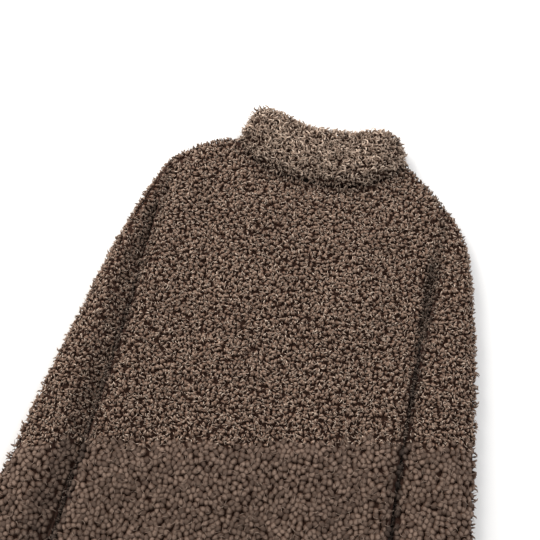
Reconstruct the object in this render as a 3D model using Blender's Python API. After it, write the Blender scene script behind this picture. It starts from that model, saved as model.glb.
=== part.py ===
# Curly fleece jacket with a stand collar, laid face down on a flat surface.
# +X is the wearer's right, +Y runs up to the collar and Z = 0 is the surface.
# All sizes below are in millimetres. The garment is drawn round the point where
# its axis meets the back neck seam, and is centred over the origin at the end.

import math
from collections import namedtuple

import bmesh
import bpy
import numpy as np

MM = 0.001
COLLECTION = "curly_fleece_jacket"

# Layers: the fronts lie on the surface, the back lies on the fronts.
SEAM_GAP = 0.3
WALL = 12.0
SLIT = 3.5
BACK_UNDERSIDE = WALL + SLIT
BACK_TOP = 27.5
EDGE_HEIGHT = WALL + SLIT / 2
EDGE_LIP = 1.4
EDGE_ROUND = 14.0
PINCHED_SLIT = 0.3
PINCH_LENGTH = WALL + 4.0

# Body
HEM_Y = -690.0
HEM_SWEEP = 7.0
HEM_ROUND = 9.0
HEM_SOFTNESS = 0.55
UNDERARM_Y = -206.0
ARMHOLE_BLEND = 34.0
BODY_HALF = 219.0
FRONT_EDGE_X = 5.0
BACK_ROWS = 26
FRONT_ROWS = 14
WidthRow = namedtuple("WidthRow", "y half_width")
BODY_WIDTHS = (
    WidthRow(-690, 237.0),
    WidthRow(-590, 233.0),
    WidthRow(-480, 228.5),
    WidthRow(-410, 225.0),
    WidthRow(-300, 220.5),
    WidthRow(-180, 219.0),
    WidthRow(60, 219.0),
)

# Neckline, a cubic sweep from its lowest point up to the neck point on each side.
NECK_LOW_X = -12.0
BACK_NECK_LOW_Y = -9.0
FRONT_NECK_LOW_Y = -48.0
NECK_BEND = 3.0
NECK_SOFTNESS = 0.22
NECK_CORNER_SOFTNESS = 0.38
NECK_CORNER = 12.0
NECK_STEPS = (0.0, 3.5, 8.0, 14.0, 24.0)
Shoulder = namedtuple("Shoulder", "neck_x neck_y tip_x tip_y bend")
SHOULDERS = {
    -1: Shoulder(neck_x=-124.0, neck_y=36.0, tip_x=-219.0, tip_y=-20.0, bend=1.7),
    1: Shoulder(neck_x=143.0, neck_y=52.0, tip_x=219.0, tip_y=-6.0, bend=1.1),
}

# Soft folds that run down the back: three points of each line, its half width
# and how far it stands proud (or sinks).
Fold = namedtuple("Fold", "x0 y0 x1 y1 x2 y2 width height")
BACK_FOLDS = (
    Fold(-200, -90, -190, -330, -212, -640, 15, 8.0),
    Fold(-146, -70, -118, -300, -142, -600, 26, -4.5),
    Fold(-92, -60, -66, -280, -12, -520, 34, 4.5),
    Fold(30, -300, 58, -420, 40, -640, 26, -3.5),
    Fold(70, -150, 100, -340, 112, -640, 34, 3.5),
    Fold(186, -120, 158, -300, 160, -560, 22, -3.5),
    Fold(206, -240, 205, -400, 216, -620, 13, 3.5),
    Fold(-170, -10, -120, -40, -60, -90, 26, 3.0),
    Fold(176, -10, 140, -40, 90, -80, 26, 3.0),
    Fold(-60, -26, 0, -34, 70, -24, 14, -2.5),
)
FOLD_STEPS = 24
UNDERSIDE_FOLLOW = 0.6
UNDERSIDE_SINK = 2.2

# Sleeves: where each ring starts on the outer line and ends on the inner line,
# its height and how far its top rounds in from each edge.
Ring = namedtuple("Ring", "outer_x outer_y inner_x inner_y height rounding")
SLEEVE_RINGS = {
    "left": (
        Ring(-219.3, -20, -219.3, -212, 27.5, 14),
        Ring(-231, -43, -220.9, -220, 29, 18),
        Ring(-243, -76, -221.6, -229, 31, 24),
        Ring(-256, -120, -222.1, -240, 34, 30),
        Ring(-269, -172, -222.6, -256, 37, 34),
        Ring(-281, -226, -223.2, -280, 39, 33),
        Ring(-291, -286, -224.2, -316, 39, 32),
        Ring(-303, -346, -226.0, -364, 37, 34),
        Ring(-313, -398, -228.5, -413, 35, 36),
        Ring(-323, -460, -231.5, -475, 34, 38),
        Ring(-333, -522, -234.5, -537, 33, 40),
        Ring(-343, -584, -238.5, -600, 32, 40),
        Ring(-351, -638, -244.5, -655, 31, 38),
    ),
    "right": (
        Ring(219.3, -6, 219.3, -212, 27.5, 14),
        Ring(238, -23, 220.9, -220, 29, 20),
        Ring(256, -49, 221.6, -229, 31, 28),
        Ring(272, -90, 222.1, -240, 33, 36),
        Ring(285, -137, 222.7, -255, 34, 42),
        Ring(297, -186, 223.4, -278, 34, 44),
        Ring(309, -240, 224.4, -308, 34, 44),
        Ring(320, -298, 225.6, -342, 33, 42),
        Ring(330, -354, 227.4, -384, 32, 42),
        Ring(339, -411, 230.0, -434, 31, 42),
        Ring(347, -469, 234.5, -489, 31, 42),
        Ring(357, -531, 242.0, -550, 30, 42),
        Ring(367, -594, 252.0, -612, 30, 42),
        Ring(373, -638, 260.0, -656, 30, 40),
    ),
}
RINGS_PER_ROW = 2
CUFF_ROUND = 5.0
CUFF_THINS = 0.25
SLEEVE_FOLDS = {
    "left": (
        Fold(-262, -180, -252, -340, -270, -520, 20, 3.0),
        Fold(-300, -380, -284, -420, -262, -440, 14, -2.5),
        Fold(-236, -250, -258, -262, -280, -250, 12, -2.5),
        Fold(-300, -560, -286, -600, -290, -640, 18, 2.5),
    ),
    "right": (
        Fold(258, -120, 268, -260, 282, -430, 26, 2.5),
        Fold(318, -300, 290, -330, 262, -330, 16, -2.5),
        Fold(332, -420, 304, -452, 268, -450, 16, -2.0),
        Fold(290, -520, 306, -580, 312, -640, 22, 2.5),
    ),
}

# Stand collar: one wall bent round the neck, thick where it shows at the back.
# It narrows a little from the neck seam to its upper edge.
COLLAR_TOP = 40.0
COLLAR_SEAM_TOP = 31.0
COLLAR_SWELL = 22.0
COLLAR_EDGE_ROUND = 15.0
COLLAR_FOLD_ROUND = 19.0
COLLAR_NARROWS = {-1: 13.0, 1: 20.0}
COLLAR_NARROW_BEND = 1.6
COLLAR_EDGE_MIDDLE = 0.45
COLLAR_EDGE_LIP = 0.6
COLLAR_LEVELS = (0.0, 0.05, 0.11, 0.19, 0.29, 0.41, 0.53, 0.65, 0.76, 0.85, 0.92, 0.97, 1.0)
FRONT_COLLAR_SHORT = 8.0
EdgeRow = namedtuple("EdgeRow", "x y")
COLLAR_EDGE = (
    EdgeRow(-124, 84.0),
    EdgeRow(-108, 93.0),
    EdgeRow(-80, 92.0),
    EdgeRow(-45, 84.0),
    EdgeRow(-10, 79.0),
    EdgeRow(30, 81.0),
    EdgeRow(75, 90.0),
    EdgeRow(105, 98.0),
    EdgeRow(128, 97.0),
    EdgeRow(143, 90.0),
)
COLLAR_FOLDS = (
    Fold(-96, 20, -84, 60, -86, 90, 18, 3.0),
    Fold(-46, 0, -42, 40, -50, 84, 16, -2.5),
    Fold(20, 0, 26, 40, 30, 80, 22, -1.5),
    Fold(80, 10, 92, 50, 92, 94, 20, 3.0),
)

# Centre front zip, closed to its top.
CHAIN_HALF = 3.0
CHAIN_BOTTOM = 10.2
TAPE_BOTTOM = WALL + SEAM_GAP
TAPE_TOP = TAPE_BOTTOM + 1.0
TAPE_HALF = 15.0
CHAIN_LOW_Y = HEM_Y + 12.0
CHAIN_HIGH_Y = 58.0
SLIDER_HALF = 4.3
SLIDER_LENGTH = 14.0
SLIDER_OVERHANG = 3.0
PLATE = 1.2
FLANGE_X = CHAIN_HALF + SEAM_GAP
POST_HALF = 0.9
BAIL_HALF = 0.9
BAIL_BAR = 1.2
BAIL_ROOM = 2.8
BAIL_INSET = 2.4
COVER_INSET = 0.4
MERGE = 0.3
PULL_THICK = 1.4
PULL_LENGTH = 30.0
PULL_HALF = 2.8
PULL_WINDOW = 8.0
PULL_ARM_X = BAIL_HALF + 0.4
PULL_TIP_CLEAR = 0.3

# Colours, linear
FLEECE_BROWN = (0.105, 0.069, 0.052)
COLLAR_BROWN = (0.165, 0.118, 0.090)
TAPE_BROWN = (0.050, 0.036, 0.028)
ZIP_METAL = (0.060, 0.050, 0.044)


def eased(value):
    """A smooth step from 0 to 1."""
    value = min(max(value, 0.0), 1.0)
    return value * value * (3.0 - 2.0 * value)


def rounded(distance, radius):
    """Quarter circle: 0 at an edge, 1 from one radius inside it."""
    share = min(max(distance / radius, 0.0), 1.0)
    return math.sqrt(1.0 - (1.0 - share) ** 2)


def through(stations, values, at):
    """A smooth curve through a row of values, read at one place."""
    last = len(stations) - 1
    at = min(max(at, stations[0]), stations[last])
    k = 0
    while k < last - 1 and at > stations[k + 1]:
        k += 1
    slopes = []
    for i in (k, k + 1):
        before = max(i - 1, 0)
        after = min(i + 1, last)
        rise = values[after] - values[before]
        slopes.append(rise / (stations[after] - stations[before]))
    length = stations[k + 1] - stations[k]
    u = (at - stations[k]) / length
    start = (1 + 2 * u) * (1 - u) ** 2 * values[k]
    end = u * u * (3 - 2 * u) * values[k + 1]
    bend = u * (1 - u) * length * ((1 - u) * slopes[0] - u * slopes[1])
    return start + end + bend


def arc_steps(radius, count):
    """Distances from an edge that divide a quarter circle evenly."""
    return [radius * (1 - math.cos(math.pi / 2 * i / count)) for i in range(count)]


def fold_line(fold):
    """Points along a fold's own curved line."""
    u = np.linspace(0, 1, FOLD_STEPS)[:, None]
    ends = (1 - u) ** 2 * np.array([fold.x0, fold.y0]) + u * u * np.array([fold.x2, fold.y2])
    middle = 2 * np.array([fold.x1, fold.y1]) - 0.5 * np.array([fold.x0 + fold.x2, fold.y0 + fold.y2])
    return ends + 2 * u * (1 - u) * middle


def fold_height(x, y, folds):
    """How far the folds lift the cloth at a point."""
    total = 0.0
    for fold in folds:
        away = np.hypot(*(fold_line(fold) - (x, y)).T).min()
        total += fold.height * math.exp(-((away / fold.width) ** 2))
    return total


def neckline(x, low_y):
    """Height of the neckline, from its lowest point up to the neck points."""
    shoulder = SHOULDERS[1 if x > NECK_LOW_X else -1]
    share = (x - NECK_LOW_X) / (shoulder.neck_x - NECK_LOW_X)
    return low_y + (shoulder.neck_y - low_y) * share**NECK_BEND


def shoulder_line(x):
    """Height of the shoulder seam outside the neck points."""
    shoulder = SHOULDERS[1 if x > 0 else -1]
    share = (x - shoulder.neck_x) / (shoulder.tip_x - shoulder.neck_x)
    return shoulder.neck_y - (shoulder.neck_y - shoulder.tip_y) * share**shoulder.bend


def inside_neck(x):
    return SHOULDERS[-1].neck_x <= x <= SHOULDERS[1].neck_x


def top_edge(x, low_y):
    return neckline(x, low_y) if inside_neck(x) else shoulder_line(x)


def hem_line(x):
    """Height of the hem, which rises a little towards the side seams."""
    return HEM_Y + HEM_SWEEP * (x / BODY_HALF) ** 2


def half_width(y):
    return through([row.y for row in BODY_WIDTHS], [row.half_width for row in BODY_WIDTHS], y)


def neck_columns():
    """Places across the neckline, closer together where it is steep."""
    low, high = SHOULDERS[-1].neck_x, SHOULDERS[1].neck_x
    left = [low + step for step in NECK_STEPS]
    right = [high - step for step in reversed(NECK_STEPS)]
    middle = np.linspace(left[-1], right[0], 13)[1:-1]
    return left + list(middle) + right


def body_columns():
    """Places across the body at the level of the shoulders, from side to side."""
    arc = arc_steps(EDGE_ROUND, 4)
    left_side = [-BODY_HALF + step for step in arc]
    left = np.linspace(-BODY_HALF + EDGE_ROUND, SHOULDERS[-1].neck_x, 6)[:-1]
    right = np.linspace(SHOULDERS[1].neck_x, BODY_HALF - EDGE_ROUND, 5)[1:]
    right_side = [BODY_HALF - step for step in reversed(arc)]
    return left_side + list(left) + neck_columns() + list(right) + right_side


def body_rows(column_x, low_y, between):
    """Places up the body in one column, from the hem to its top edge."""
    hem_y, top_y = hem_line(column_x), top_edge(column_x, low_y)
    hem = [hem_y + step for step in arc_steps(HEM_ROUND, 3)]
    top = [top_y - step for step in reversed(arc_steps(EDGE_ROUND, 4))]
    middle = np.linspace(hem_y + HEM_ROUND, top_y - EDGE_ROUND, between)
    return hem + list(middle) + top


def below_armhole(y):
    """0 where the sleeve is sewn on, 1 where the side is a plain edge."""
    return eased((UNDERARM_Y - y) / ARMHOLE_BLEND)


def edge_shares(x, y, column_x, top_y):
    """How much of the wall's full height is left near the sides, top and hem."""
    side = 1 - (1 - rounded(half_width(y) - abs(x), EDGE_ROUND)) * below_armhole(y)
    softness = 1.0
    if inside_neck(column_x):
        neck_points = (SHOULDERS[-1].neck_x, SHOULDERS[1].neck_x)
        from_neck = min(abs(column_x - point) for point in neck_points)
        softness = NECK_SOFTNESS + NECK_CORNER_SOFTNESS * eased(1 - from_neck / NECK_CORNER)
    top = 1 - (1 - rounded(top_y - y, EDGE_ROUND)) * softness
    hem = 1 - HEM_SOFTNESS * (1 - rounded(y - hem_line(column_x), HEM_ROUND))
    return side, top, hem


def seam_share(x, y, column_x, top_y):
    """1 on the strip where the back and a front are sewn edge to edge, else 0."""
    side = below_armhole(y) if half_width(y) - abs(x) < EDGE_ROUND - 1 else 0.0
    on_shoulder = not inside_neck(column_x) and top_y - y < EDGE_ROUND - 1
    return max(side, 1.0 if on_shoulder else 0.0)


def panel_grids(columns, low_y, between, outer_height, inner_height):
    """Outer and inner points of a body panel, row by row from the hem."""
    rows = [body_rows(x, low_y, between) for x in columns]
    outer, inner = [], []
    for r in range(len(rows[0])):
        outer_row, inner_row = [], []
        for column_x, ys in zip(columns, rows):
            y = ys[r]
            x = column_x * half_width(y) / BODY_HALF
            if abs(column_x) <= FRONT_EDGE_X:
                x = column_x
            place = (x, y, column_x, ys[-1])
            outer_row.append((x, y, outer_height(place)))
            inner_row.append((x, y, inner_height(place)))
        outer.append(outer_row)
        inner.append(inner_row)
    return outer, inner


def back_outer(place):
    x, y = place[:2]
    side, top, hem = edge_shares(*place)
    full = BACK_TOP + fold_height(x, y, BACK_FOLDS)
    lowest = EDGE_HEIGHT + SEAM_GAP / 2 + EDGE_LIP
    return lowest + (full - lowest) * side * top * hem


def back_inner(place):
    x, y = place[:2]
    side, top, hem = edge_shares(*place)
    lift = UNDERSIDE_FOLLOW * fold_height(x, y, BACK_FOLDS) * side * top * hem
    plain = BACK_UNDERSIDE + max(lift, -UNDERSIDE_SINK)
    sewn = seam_share(*place)
    return plain * (1 - sewn) + (EDGE_HEIGHT + SEAM_GAP / 2) * sewn


def front_outer(place):
    side, top, hem = edge_shares(*place)
    highest = EDGE_HEIGHT - SEAM_GAP / 2 - EDGE_LIP
    return highest * (1 - side * top * hem)


def front_inner(place):
    sewn = seam_share(*place)
    return WALL * (1 - sewn) + (EDGE_HEIGHT - SEAM_GAP / 2) * sewn


def sleeve_ring(ring):
    """Outer and inner loops of one section across a sleeve."""
    across = np.array([ring.inner_x - ring.outer_x, ring.inner_y - ring.outer_y])
    width = float(np.hypot(*across))
    across /= width
    start = np.array([ring.outer_x, ring.outer_y])
    folds = SLEEVE_FOLDS["left" if ring.outer_x < 0 else "right"]
    rounding = min(ring.rounding, width / 2 - 2)
    arc = arc_steps(rounding, 5)
    flat = list(np.linspace(rounding, width - rounding, 7))
    over = arc + flat + [width - step for step in reversed(arc)]
    low_arc = arc_steps(EDGE_HEIGHT, 4)[1:]
    low_flat = list(np.linspace(EDGE_HEIGHT, width - EDGE_HEIGHT, 5))
    under = low_arc + low_flat + [width - step for step in reversed(low_arc)]
    rise = ring.height - EDGE_HEIGHT
    outer, inner = [], []
    for away, upper in [(a, True) for a in over] + [(a, False) for a in reversed(under)]:
        near = min(away, width - away)
        slit_at = min(max(away, WALL), width - WALL)
        x, y = start + across * away
        slit_x, slit_y = start + across * slit_at
        half_slit = SLIT / 2 * (PINCHED_SLIT + (1 - PINCHED_SLIT) * rounded(near, PINCH_LENGTH))
        if upper:
            body = rounded(near, rounding)
            crease = fold_height(x, y, folds) * body
            outer.append((x, y, EDGE_HEIGHT + rise * body + crease))
            inner.append((slit_x, slit_y, EDGE_HEIGHT + half_slit))
        else:
            outer.append((x, y, EDGE_HEIGHT * (1 - rounded(near, EDGE_HEIGHT))))
            inner.append((slit_x, slit_y, EDGE_HEIGHT - half_slit))
    return outer, inner


def sleeve_grids(rings):
    """Loops along a sleeve, read from a smooth curve through the table's rows."""
    stations = list(range(len(rings)))
    outer, inner = [], []
    for step in range(RINGS_PER_ROW * (len(rings) - 1) + 1):
        at = step / RINGS_PER_ROW
        values = [through(stations, column, at) for column in zip(*rings)]
        outer_loop, inner_loop = sleeve_ring(Ring(*values))
        outer.append(outer_loop)
        inner.append(inner_loop)
    cuff, above = rings[-1], rings[-2]
    down = np.array([cuff.outer_x - above.outer_x, cuff.outer_y - above.outer_y], float)
    down *= CUFF_ROUND / np.hypot(*down)
    outer.append([thinned(p, q, down) for p, q in zip(outer[-1], inner[-1])])
    inner.append([(q[0] + down[0], q[1] + down[1], q[2]) for q in inner[-1]])
    return outer, inner


def thinned(outer_point, inner_point, down):
    """A point of the cuff's edge, where the wall rounds off."""
    x, y, z = (p + CUFF_THINS * (q - p) for p, q in zip(outer_point, inner_point))
    return x + down[0], y + down[1], z


def collar_path():
    """Places round the collar: (x at the neck seam, layer) from one front edge,
    over the back layer, to the other front edge. Layer 0 is the front half."""
    neck = neck_columns()
    left = [x for x in neck if x < -FRONT_EDGE_X]
    right = [x for x in neck if x > FRONT_EDGE_X]
    front_left = [(-FRONT_EDGE_X, 0)] + [(x, 0) for x in reversed(left[1:])]
    front_right = [(x, 0) for x in reversed(right[:-1])] + [(FRONT_EDGE_X, 0)]
    return front_left + [(x, 1) for x in neck] + front_right


def collar_grids():
    """Outer and inner points of the collar, level by level from the neck seam."""
    low, high = SHOULDERS[-1].neck_x, SHOULDERS[1].neck_x
    edge_x = [row.x for row in COLLAR_EDGE]
    edge_y = [row.y for row in COLLAR_EDGE]
    outer, inner = [], []
    for level in COLLAR_LEVELS:
        outer_row, inner_row = [], []
        for seam_x, layer in collar_path():
            base = BACK_NECK_LOW_Y if layer else FRONT_NECK_LOW_Y
            low_y = neckline(seam_x, base) + SEAM_GAP + 0.1
            high_y = through(edge_x, edge_y, seam_x)
            high_y -= 0 if layer else FRONT_COLLAR_SHORT
            y = low_y + (high_y - low_y) * level
            side = -1 if seam_x < NECK_LOW_X else 1
            share = (seam_x - NECK_LOW_X) / (SHOULDERS[side].neck_x - NECK_LOW_X)
            x = seam_x - side * COLLAR_NARROWS[side] * share * level**COLLAR_NARROW_BEND
            if seam_x in (-FRONT_EDGE_X, FRONT_EDGE_X):
                x = seam_x
            near = min(seam_x - low, high - seam_x)
            body = rounded(near, COLLAR_FOLD_ROUND)
            slit_shift = -side * max(WALL - near, 0.0)
            from_seam = y - neckline(seam_x, BACK_NECK_LOW_Y)
            swell = eased(from_seam / COLLAR_SWELL)
            edge = rounded(high_y - y + COLLAR_EDGE_LIP, COLLAR_EDGE_ROUND)
            half_slit = SLIT / 2 * (PINCHED_SLIT + (1 - PINCHED_SLIT) * rounded(near, WALL))
            if layer:
                top = COLLAR_SEAM_TOP + (COLLAR_TOP - COLLAR_SEAM_TOP) * swell
                top += fold_height(x, y, COLLAR_FOLDS) * swell
                if level == 0.0:
                    top = BACK_TOP
                bottom = EDGE_HEIGHT + half_slit
                middle = bottom + COLLAR_EDGE_MIDDLE * (top - bottom)
                outer_z = middle + (top - middle) * edge
                outer_z = EDGE_HEIGHT + (outer_z - EDGE_HEIGHT) * body
                inner_z = bottom
            else:
                outer_z = 0.5 * WALL * (1 - edge)
                outer_z = EDGE_HEIGHT + (outer_z - EDGE_HEIGHT) * rounded(near, EDGE_HEIGHT)
                inner_z = EDGE_HEIGHT - half_slit
            outer_row.append((x, y, outer_z))
            inner_row.append((x + slit_shift, y, inner_z))
        outer.append(outer_row)
        inner.append(inner_row)
    return outer, inner


def material_for(name, colour, roughness, metallic=0.0):
    material = bpy.data.materials.new(name)
    material.use_nodes = True
    shader = material.node_tree.nodes["Principled BSDF"]
    shader.inputs["Base Color"].default_value = (*colour, 1.0)
    shader.inputs["Roughness"].default_value = roughness
    shader.inputs["Metallic"].default_value = metallic
    return material


def add_object(name, mesh_data, material, parts, parent, location=(0, 0, 0)):
    """One named part, in the collection and under the garment's empty."""
    mesh = bpy.data.meshes.new(name)
    bmesh.ops.recalc_face_normals(mesh_data, faces=mesh_data.faces)
    mesh_data.to_mesh(mesh)
    mesh_data.free()
    mesh.materials.append(material)
    part = bpy.data.objects.new(name, mesh)
    parts.objects.link(part)
    part.parent = parent
    part.location = [value * MM for value in location]
    return part


def wall_between(outer, inner, closed_loop):
    """A closed wall between two matching grids of points."""
    mesh_data = bmesh.new()
    sheets = []
    for grid in (outer, inner):
        sheets.append([[mesh_data.verts.new([c * MM for c in p]) for p in row] for row in grid])
    rows, columns = len(outer), len(outer[0])
    last = columns if closed_loop else columns - 1
    for sheet in sheets:
        for r in range(rows - 1):
            for c in range(last):
                n = (c + 1) % columns
                mesh_data.faces.new((sheet[r][c], sheet[r][n], sheet[r + 1][n], sheet[r + 1][c]))
    skin, lining = sheets
    for r in (0, rows - 1):
        for c in range(last):
            n = (c + 1) % columns
            mesh_data.faces.new((skin[r][c], skin[r][n], lining[r][n], lining[r][c]))
    if not closed_loop:
        for c in (0, columns - 1):
            for r in range(rows - 1):
                mesh_data.faces.new((skin[r][c], skin[r + 1][c], lining[r + 1][c], lining[r][c]))
    return mesh_data


def extruded(section, axis, start, end):
    """A flat section pushed along X or Y. Its points are (x, z) or (y, z)."""
    mesh_data = bmesh.new()
    corners = []
    for across, height in section:
        point = (across, start, height) if axis == "Y" else (start, across, height)
        corners.append(mesh_data.verts.new([value * MM for value in point]))
    face = mesh_data.faces.new(corners)
    pushed = bmesh.ops.extrude_face_region(mesh_data, geom=[face])["geom"]
    moved = [item for item in pushed if isinstance(item, bmesh.types.BMVert)]
    length = (end - start) * MM
    way = (0, length, 0) if axis == "Y" else (length, 0, 0)
    bmesh.ops.translate(mesh_data, verts=moved, vec=way)
    return mesh_data


def block(name, low, high, guides, parent):
    """A box that is joined to or cut from another piece."""
    mesh_data = bmesh.new()
    bmesh.ops.create_cube(mesh_data, size=1.0)
    for vertex in mesh_data.verts:
        for k in range(3):
            vertex.co[k] = (low[k] + (vertex.co[k] + 0.5) * (high[k] - low[k])) * MM
    guide = add_object(name, mesh_data, guides["material"], guides["collection"], parent)
    guide.hide_render = True
    guide.display_type = "WIRE"
    return guide


def combine(part, guide, operation):
    boolean = part.modifiers.new(guide.name, "BOOLEAN")
    boolean.operation = operation
    boolean.object = guide


def add_back(parts, parent, fleece):
    columns = body_columns()
    outer, inner = panel_grids(columns, BACK_NECK_LOW_Y, BACK_ROWS, back_outer, back_inner)
    add_object("back", wall_between(outer, inner, False), fleece, parts, parent)


def add_front(side, parts, parent, fleece):
    """One front, from the side seam to the zip at the centre."""
    columns = [x for x in body_columns() if x * side > 2 * FRONT_EDGE_X]
    columns = sorted(columns + [side * FRONT_EDGE_X])
    outer, inner = panel_grids(columns, FRONT_NECK_LOW_Y, FRONT_ROWS, front_outer, front_inner)
    name = "front_left" if side < 0 else "front_right"
    add_object(name, wall_between(outer, inner, False), fleece, parts, parent)


def add_sleeve(name, rings, parts, parent, fleece):
    outer, inner = sleeve_grids(rings)
    add_object(name, wall_between(outer, inner, True), fleece, parts, parent)


def add_collar(parts, parent, fleece):
    outer, inner = collar_grids()
    add_object("collar", wall_between(outer, inner, False), fleece, parts, parent)


def add_tape(name, side, parts, parent, cloth):
    """Zip tape with its row of teeth as one raised edge."""
    inner_x = SEAM_GAP / 2
    section = (
        (inner_x, CHAIN_BOTTOM),
        (CHAIN_HALF, CHAIN_BOTTOM),
        (CHAIN_HALF, TAPE_BOTTOM),
        (TAPE_HALF, TAPE_BOTTOM),
        (TAPE_HALF, TAPE_TOP),
        (inner_x, TAPE_TOP),
    )
    section = [(side * x, z) for x, z in section]
    add_object(name, extruded(section, "Y", CHAIN_LOW_Y, CHAIN_HIGH_Y), cloth, parts, parent)


def add_slider(parts, parent, metal, guides):
    """Two plates over the closed chain, with the loop that holds the pull."""
    top_y = CHAIN_HIGH_Y + SLIDER_OVERHANG
    low_y = top_y - SLIDER_LENGTH
    under_top = CHAIN_BOTTOM - SEAM_GAP
    under_bottom = under_top - PLATE
    over_bottom = TAPE_TOP + SEAM_GAP
    flange_top = TAPE_BOTTOM - SEAM_GAP
    section = (
        (-SLIDER_HALF, under_bottom),
        (SLIDER_HALF, under_bottom),
        (SLIDER_HALF, flange_top),
        (FLANGE_X, flange_top),
        (FLANGE_X, under_top),
        (-FLANGE_X, under_top),
        (-FLANGE_X, flange_top),
        (-SLIDER_HALF, flange_top),
    )
    slider = add_object("zip_slider", extruded(section, "Y", low_y, top_y), metal, parts, parent)
    post_y = CHAIN_HIGH_Y + SEAM_GAP
    cover_half = SLIDER_HALF - COVER_INSET
    post = block("slider_post", (-POST_HALF, post_y, under_top - MERGE),
                 (POST_HALF, top_y - 2 * COVER_INSET, over_bottom + MERGE), guides, parent)
    cover = block("slider_cover", (-cover_half, low_y + COVER_INSET, over_bottom),
                  (cover_half, top_y - COVER_INSET, over_bottom + PLATE), guides, parent)
    bail_low = under_bottom - BAIL_ROOM - BAIL_BAR
    bail = block("slider_bail", (-BAIL_HALF, low_y + BAIL_INSET, bail_low),
                 (BAIL_HALF, top_y - BAIL_INSET, under_bottom + MERGE), guides, parent)
    room = block("bail_room", (-2 * BAIL_HALF, low_y + BAIL_INSET + BAIL_BAR, bail_low + BAIL_BAR),
                 (2 * BAIL_HALF, top_y - BAIL_INSET - BAIL_BAR, under_bottom), guides, parent)
    for guide in (post, cover, bail):
        combine(slider, guide, "UNION")
    combine(slider, room, "DIFFERENCE")
    pivot_y = low_y + BAIL_INSET + BAIL_BAR + SEAM_GAP + PULL_THICK / 2
    pivot_z = bail_low + BAIL_BAR + SEAM_GAP + PULL_THICK / 2
    return pivot_y, pivot_z


def add_pull(pivot, parts, parent, metal, guides):
    """Flat pull tab, hung in the slider's loop, its tip just above the surface."""
    pivot_y, pivot_z = pivot
    half = PULL_THICK / 2
    section = (
        (half, -half),
        (half, half),
        (-PULL_LENGTH, half),
        (-PULL_LENGTH, -half),
    )
    pull = add_object("zip_pull", extruded(section, "X", -PULL_HALF, PULL_HALF), metal,
                      parts, parent, (0, pivot_y, pivot_z))
    window = block("pull_window", (-PULL_ARM_X, -PULL_WINDOW, -2 * half),
                   (PULL_ARM_X, -half, 2 * half), guides, pull)
    combine(pull, window, "DIFFERENCE")
    drop = pivot_z - half - PULL_TIP_CLEAR
    pull.rotation_euler.x = math.asin(drop / PULL_LENGTH)


def centre_on_floor(parts, parent):
    """Puts the middle of the garment's plan over the origin."""
    bpy.context.view_layer.update()
    corners = np.array([tuple(part.matrix_world @ vertex.co)
                        for part in parts.objects if part.type == "MESH"
                        for vertex in part.data.vertices])
    middle = (corners.min(axis=0) + corners.max(axis=0)) / 2
    parent.location = (-middle[0], -middle[1], 0)


def main():
    for leftover in list(bpy.data.objects):
        bpy.data.objects.remove(leftover)
    scene = bpy.context.scene
    parts = bpy.data.collections.new(COLLECTION)
    scene.collection.children.link(parts)
    guide_collection = bpy.data.collections.new("zip_guides")
    scene.collection.children.link(guide_collection)
    garment = bpy.data.objects.new("garment", None)
    parts.objects.link(garment)

    fleece = material_for("brown_fleece", FLEECE_BROWN, 0.95)
    collar_fleece = material_for("collar_fleece", COLLAR_BROWN, 0.95)
    tape = material_for("zip_tape", TAPE_BROWN, 0.85)
    metal = material_for("zip_metal", ZIP_METAL, 0.4, 0.9)
    guides = {"collection": guide_collection, "material": metal}

    add_back(parts, garment, fleece)
    add_front(-1, parts, garment, fleece)
    add_front(1, parts, garment, fleece)
    for name, rings in SLEEVE_RINGS.items():
        add_sleeve("sleeve_" + name, rings, parts, garment, fleece)
    add_collar(parts, garment, collar_fleece)
    add_tape("zip_tape_left", -1, parts, garment, tape)
    add_tape("zip_tape_right", 1, parts, garment, tape)
    pivot = add_slider(parts, garment, metal, guides)
    add_pull(pivot, parts, garment, metal, guides)
    centre_on_floor(parts, garment)


main()
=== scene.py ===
import math

import bmesh
import bpy
import numpy as np
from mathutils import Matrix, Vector
from mathutils.bvhtree import BVHTree
from mathutils.kdtree import KDTree


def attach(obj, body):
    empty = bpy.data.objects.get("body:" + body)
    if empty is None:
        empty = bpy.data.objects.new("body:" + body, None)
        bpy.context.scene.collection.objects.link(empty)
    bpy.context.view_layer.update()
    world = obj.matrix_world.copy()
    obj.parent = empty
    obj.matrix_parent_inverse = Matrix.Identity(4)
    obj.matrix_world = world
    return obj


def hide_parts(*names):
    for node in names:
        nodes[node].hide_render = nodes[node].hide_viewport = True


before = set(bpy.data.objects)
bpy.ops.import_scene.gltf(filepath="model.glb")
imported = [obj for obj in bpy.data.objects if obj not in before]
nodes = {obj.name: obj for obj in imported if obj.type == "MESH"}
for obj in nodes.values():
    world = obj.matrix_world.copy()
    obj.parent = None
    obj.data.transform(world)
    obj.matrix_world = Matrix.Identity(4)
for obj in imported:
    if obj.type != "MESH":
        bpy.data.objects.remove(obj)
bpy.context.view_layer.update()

# A curly fleece jacket laid face down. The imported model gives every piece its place.
# Each panel becomes a thin knitted ground, and the pile grows out of it.
scene = bpy.context.scene
layerHeight = 0.01375  # where the upper and the lower layer of cloth meet

# The nap changes from open curls to closed pebbles along one line right across the garment.
napLine = {"height": -0.1260, "slope": 0.2392, "ragged": 0.012}


def linkTo(obj):
    scene.collection.objects.link(obj)
    return obj


def addNode(tree, kind, **settings):
    node = tree.nodes.new(kind)
    for name, value in settings.items():
        setattr(node, name, value)
    return node


def feed(tree, socket, value):
    if isinstance(value, bpy.types.NodeSocket):
        tree.links.new(value, socket)
    else:
        socket.default_value = value


# Sets or links the sockets of a node by name. Of several with one name, the one in use counts.
def plug(tree, node, **values):
    for name, value in values.items():
        wanted = name.replace("_", " ")
        feed(tree, [s for s in node.inputs if s.name == wanted and s.enabled][0], value)
    return node


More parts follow.
